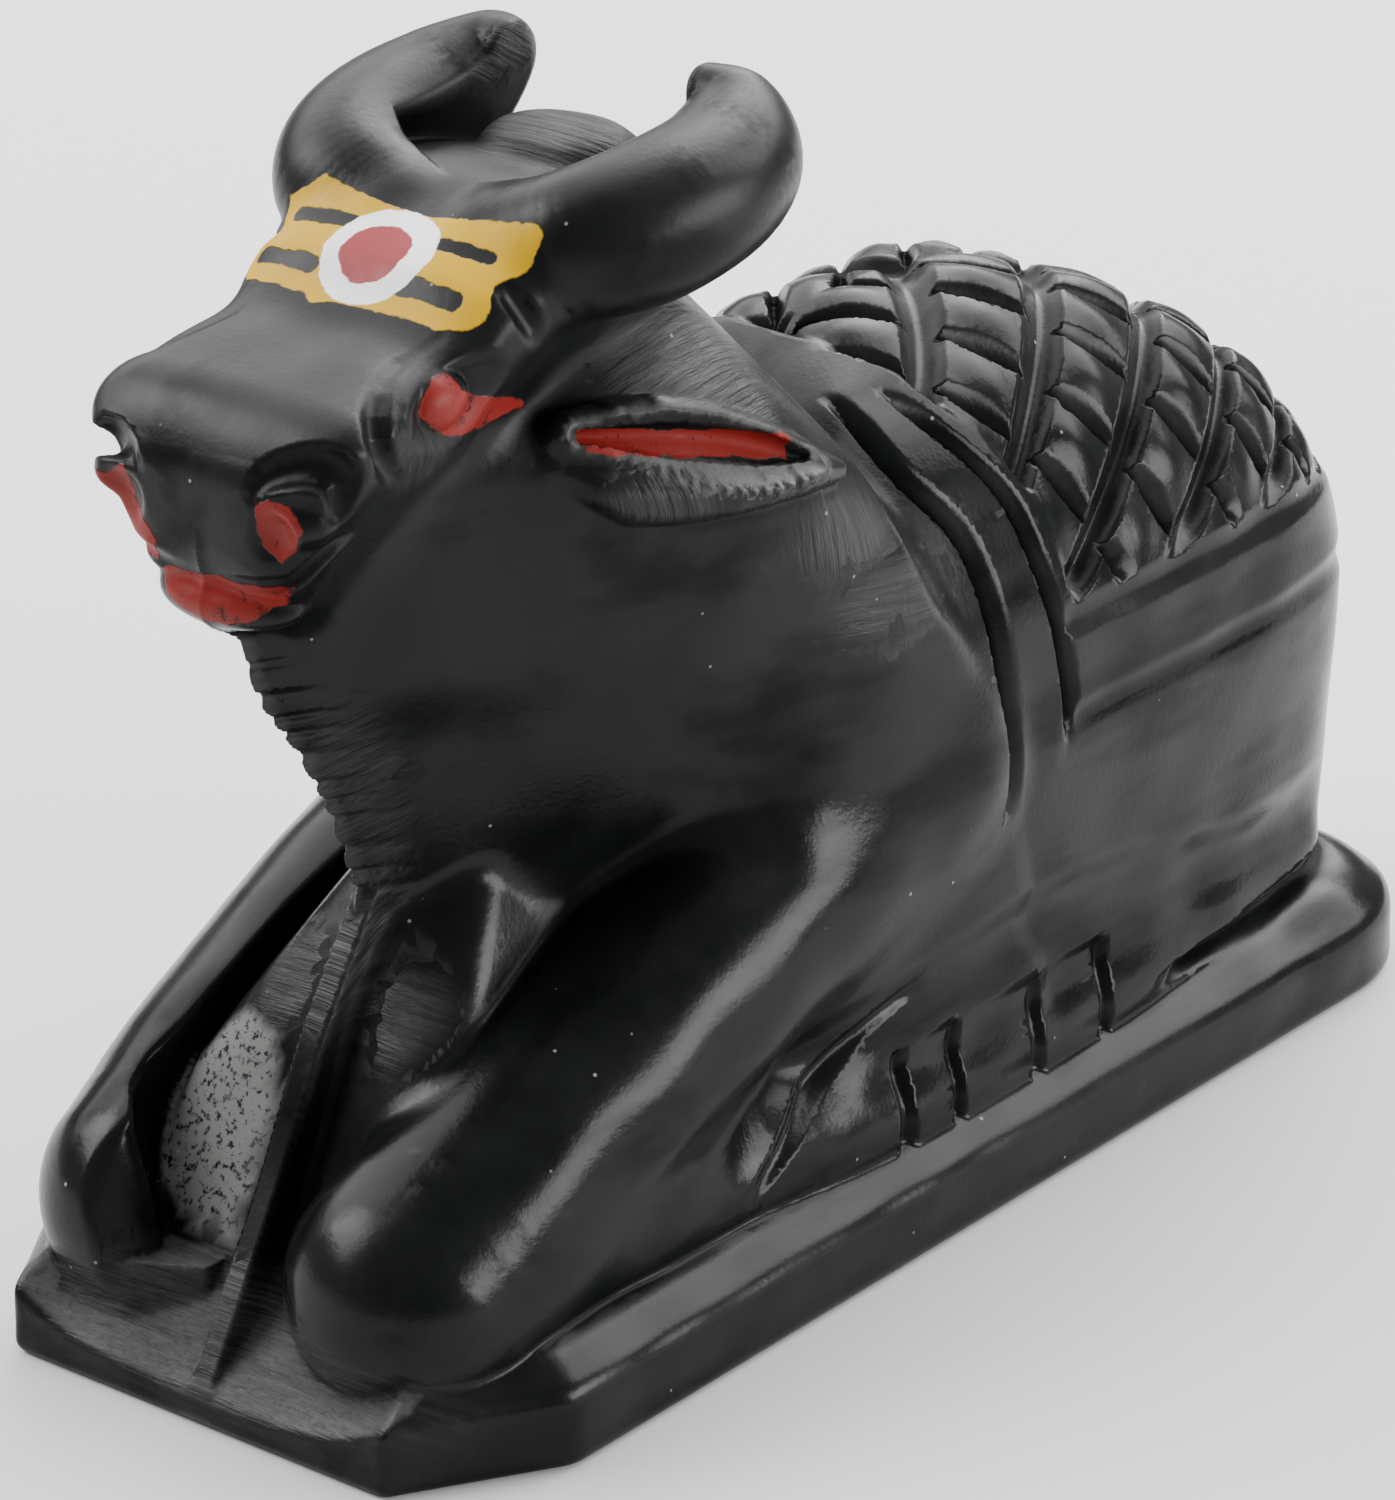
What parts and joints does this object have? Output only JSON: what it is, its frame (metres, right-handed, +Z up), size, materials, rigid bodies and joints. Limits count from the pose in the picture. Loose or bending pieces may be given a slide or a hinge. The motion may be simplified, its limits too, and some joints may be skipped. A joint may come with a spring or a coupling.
{
  "type": "nandi bull figure",
  "caption": "Small carved black stone figure of a reclining bull on a low plinth, with a latticed blanket and a painted forehead.",
  "frame": {"origin": "middle of the plinth's underside, on the surface that the figure stands on", "axes": "+Z up, the bull faces -Y, its left flank is towards +X"},
  "size_m": [0.04, 0.1, 0.0722],
  "materials": {
    "stone": "polished black stone with painted marks"
  },
  "bodies": {
    "root": {"nandi_bull": "stone"}
  },
  "joints": []
}
